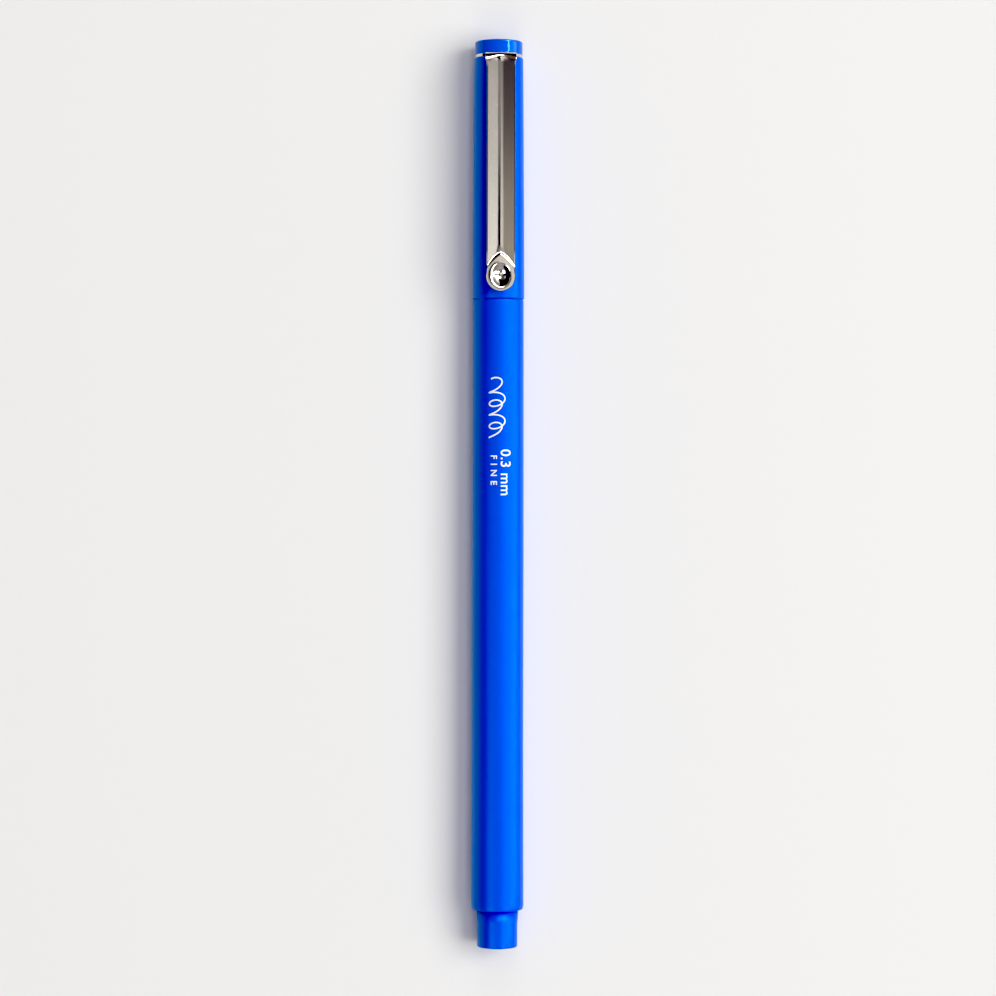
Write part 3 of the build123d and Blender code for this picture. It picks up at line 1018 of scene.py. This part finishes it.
def buildClip(c):
    discX = armEndX + c["discRadius"]
    bendX = collarFrontX - c["bendRadius"]
    bm = armGrid(c, discX, bendX)
    top = armTop
    for v in bm.verts:
        v.co.z = top - clipDrop(c, v.co.x, v.co.y, discX)
    lastRow = [e for e in bm.edges if all(abs(v.co.x - bendX) < tiny for v in e.verts)]
    rowVerts = list({v for e in lastRow for v in e.verts})
    turn = bmesh.ops.spin(bm, geom=lastRow + rowVerts, cent=(bendX, 0, top - c["bendRadius"]),
                          axis=(0, 1, 0), angle=math.pi / 2, steps=c["bendRows"])
    for v in bm.verts:      # the fold runs out round the bend
        out = Vector((v.co.x - bendX, 0, v.co.z - top + c["bendRadius"]))
        if out.x > tiny:
            left = 1 - softStep(math.degrees(math.atan2(out.x, out.z)) / c["foldEnds"])
            out.length = c["bendRadius"] - clipDrop(c, bendX, v.co.y, discX) * left
            v.co.x, v.co.z = bendX + out.x, top - c["bendRadius"] + out.z
    tip = [g for g in turn["geom_last"] if isinstance(g, bmesh.types.BMEdge)]
    down = bmesh.ops.extrude_edge_only(bm, edges=tip)
    downVerts = [g for g in down["geom"] if isinstance(g, bmesh.types.BMVert)]
    bmesh.ops.translate(bm, verts=downVerts, vec=(0, 0, c["tabFoot"] - (top - c["bendRadius"])))
    bmesh.ops.remove_doubles(bm, verts=bm.verts, dist=tiny)
    bmesh.ops.recalc_face_normals(bm, faces=bm.faces)
    upFaces = sum(1 if f.normal.z > 0 else -1 for f in bm.faces if f.calc_center_median().x < bendX)
    if upFaces < 0:
        bmesh.ops.reverse_faces(bm, faces=bm.faces)
    ontoAxis(bm)
    piece = makePiece("pocketClip", bm, clipFinish)
    wall = piece.modifiers.new("sheet", "SOLIDIFY")
    wall.thickness = (c["sheet"] - 0.01) * mm
    wall.offset = -1
    wall.use_even_offset = True
    soft = piece.modifiers.new("stamped edge", "BEVEL")
    soft.width = c["edgeRound"] * mm
    soft.segments = 3
    soft.limit_method = "ANGLE"
    soft.angle_limit = math.radians(50)
    return piece


def buildCollar(c):
    outline = [
        (collarFrontX - c["sheet"], c["collarIn"], 0),
        (collarFrontX - c["sheet"], c["collarOut"], 0.08),
        (collarFrontX, c["collarOut"], 0.08),
        (collarFrontX, c["collarIn"], 0),
    ]
    return turned("clipCollar", outline, clipFinish)


def joinClip(c):
    # collar and arm are one stamping, so they become one mesh
    arm = buildClip(c)
    collar = buildCollar(c)
    graph = bpy.context.evaluated_depsgraph_get()
    bm = bmesh.new()
    for part in (arm, collar):
        done = part.evaluated_get(graph).to_mesh()
        bm.from_mesh(done)
        part.evaluated_get(graph).to_mesh_clear()
    for part in (arm, collar):
        bpy.data.objects.remove(part)
    piece = makePiece("steelClip", bm, clipFinish)
    low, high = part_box("clip_arm")
    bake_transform(piece)
    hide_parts("clip_arm", "clip_collar")


joinClip(clipSet)
print("clip made")


# ------ printed mark ------
printSet = {
    "from": 17.6,               # where the pen stroke starts, on the pen's axis
    "to": 8.9,
    "loops": 5,
    "height": 3.4,
    "line": 0.12,               # half the width of the stroke
    "proud": 0.012,
    "longest": 0.3,             # edge, so that it follows the barrel's curve
    "landEnds": 56.9,           # from the barrel's rear, where it starts to narrow
    "thick": 0.12,              # how much of its roundness the stroke keeps
    "textDepth": 0.01,
    "textBolder": 0.03,
    "dots": 160,
    # text, size, spacing, where it starts, how far it lies to the clip's right
    "words": (
        ("0.3 mm", 2.3, 1.05, 7.0, 0.85),
        ("FINE", 1.4, 1.9, 6.1, -1.0),
    ),
}


def wrapOnBarrel(mesh, p):
    # lays a flat drawing (x along the pen, y across, z out) onto the barrel
    narrows = barrelRearX + p["landEnds"]
    land = barrelSet["landRadius"]
    front = barrelSet["frontRadius"]
    for v in mesh.vertices:
        share = min(max((v.co.x / mm - narrows) / (jointX - narrows), 0), 1)
        radius = (land + (front - land) * share) * mm + v.co.z + p["proud"] * mm
        angle = v.co.y / (land * mm)
        v.co.y = radius * math.sin(angle)
        v.co.z = axisZ * mm + radius * math.cos(angle)


def strokePoint(p, t):
    # an open row of loops that grow and shrink, slanting like handwriting
    turn = t * p["loops"] * math.tau
    tall = 0.62 + 0.38 * math.cos(turn / 2 + 0.5)
    lift = p["height"] / 2 * tall * (1 - math.cos(turn + 0.6)) - p["height"] / 2
    x = p["from"] + (p["to"] - p["from"]) * t + 0.95 * tall * math.sin(turn + 0.6) + 0.16 * lift
    return Vector((x, -lift, 0))


def buildPrint(p):
    stroke = bpy.data.curves.new("penStroke", "CURVE")
    stroke.dimensions = "3D"
    stroke.bevel_depth = p["line"] * mm
    stroke.bevel_resolution = 3
    stroke.use_fill_caps = True
    line = stroke.splines.new("NURBS")
    line.points.add(p["dots"] - 1)
    for i, point in enumerate(line.points):
        point.co = (*(strokePoint(p, i / (p["dots"] - 1)) * mm), 1)
    line.order_u = 4
    line.use_endpoint_u = True
    scribble = bpy.data.objects.new("scribble", stroke)
    scene.collection.objects.link(scribble)
    shapes = [(scribble, Matrix.Diagonal((1, 1, p["thick"], 1)))]
    for body, size, spacing, start, aside in p["words"]:
        words = bpy.data.curves.new("words", "FONT")
        words.body = body
        words.size = size * mm
        words.space_character = spacing
        words.extrude = p["textDepth"] * mm
        words.offset = p["textBolder"] * mm
        words.align_x = "LEFT"
        words.align_y = "CENTER"
        text = bpy.data.objects.new("words", words)
        scene.collection.objects.link(text)
        # reads from the cap towards the tail, its top to the clip's right
        lay = Matrix(((-1, 0, 0, start * mm), (0, -1, 0, -aside * mm), (0, 0, 1, 0), (0, 0, 0, 1)))
        shapes.append((text, lay))

    bpy.context.view_layer.update()
    graph = bpy.context.evaluated_depsgraph_get()
    bm = bmesh.new()
    for shape, lay in shapes:
        mesh = bpy.data.meshes.new_from_object(shape.evaluated_get(graph))
        mesh.transform(lay)
        bm.from_mesh(mesh)
    for shape, lay in shapes:
        bpy.data.objects.remove(shape)
    bmesh.ops.triangulate(bm, faces=bm.faces)
    for again in range(3):
        longEdges = [e for e in bm.edges if e.calc_length() > p["longest"] * mm]
        bmesh.ops.subdivide_edges(bm, edges=longEdges, cuts=1)
        bmesh.ops.triangulate(bm, faces=bm.faces)
    piece = makePiece("penMark", bm, printFinish, smoothSides=False)
    wrapOnBarrel(piece.data, p)
    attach(piece, "pen")


buildPrint(printSet)
print("mark made")


# ------ carried-over solids ------
carriedOver = {"inner_cap": linerFinish, "ink_reservoir": fibreFinish, "reservoir_film": filmFinish}
for node, material in carriedOver.items():
    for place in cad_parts[node].material_slots:
        place.material = material


# ------ table ------
tableSet = {"reach": 1500.0, "shade": (0.846, 0.842, 0.832), "roughness": 0.6}


def buildTable(t):
    bm = bmesh.new()
    bmesh.ops.create_grid(bm, x_segments=8, y_segments=8, size=t["reach"] * mm)

    def varied(s):
        cloud = s.noise(3.0, 3.0)
        fine = s.noise(900.0, 2.0)
        return {
            "Base Color": s.mix(cloud, t["shade"], tuple(v * 0.985 for v in t["shade"])),
            "Roughness": t["roughness"] - 0.05 + fine * 0.1,
        }

    table = makePiece("table", bm, finish("tablePale", varied, {"Specular IOR Level": 0.0}))


buildTable(tableSet)
print("table made")
